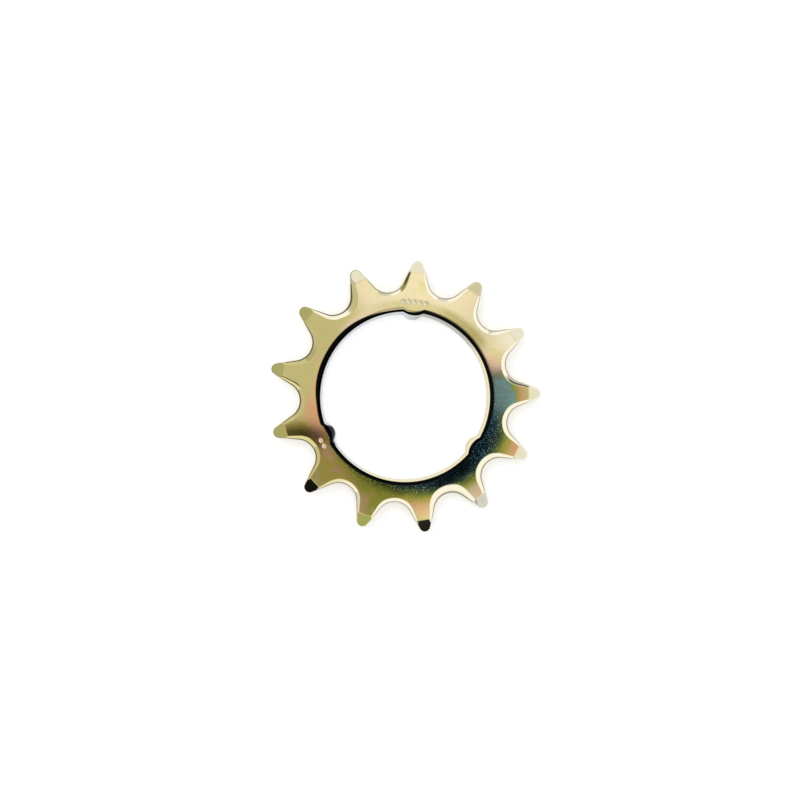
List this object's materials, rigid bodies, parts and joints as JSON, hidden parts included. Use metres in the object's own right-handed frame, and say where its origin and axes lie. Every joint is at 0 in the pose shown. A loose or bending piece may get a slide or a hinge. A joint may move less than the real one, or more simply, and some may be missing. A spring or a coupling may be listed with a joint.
{
  "type": "bicycle hub sprocket",
  "caption": "Flat steel sprocket for a bicycle chain, with round roller seats, bevelled tooth tips and a lugged bore that keys on to a geared hub.",
  "frame": {"origin": "middle of the bore at the back face, which the sprocket lies on", "axes": "+Z along the hub axis, out of the front face; +Y through one tooth and one lug"},
  "size_m": [0.058, 0.0576, 0.003],
  "materials": {
    "chromated_steel": "zinc plated with a yellow iridescent chromate, satin"
  },
  "bodies": {
    "root": {"sprocket": "chromated_steel"}
  },
  "joints": []
}
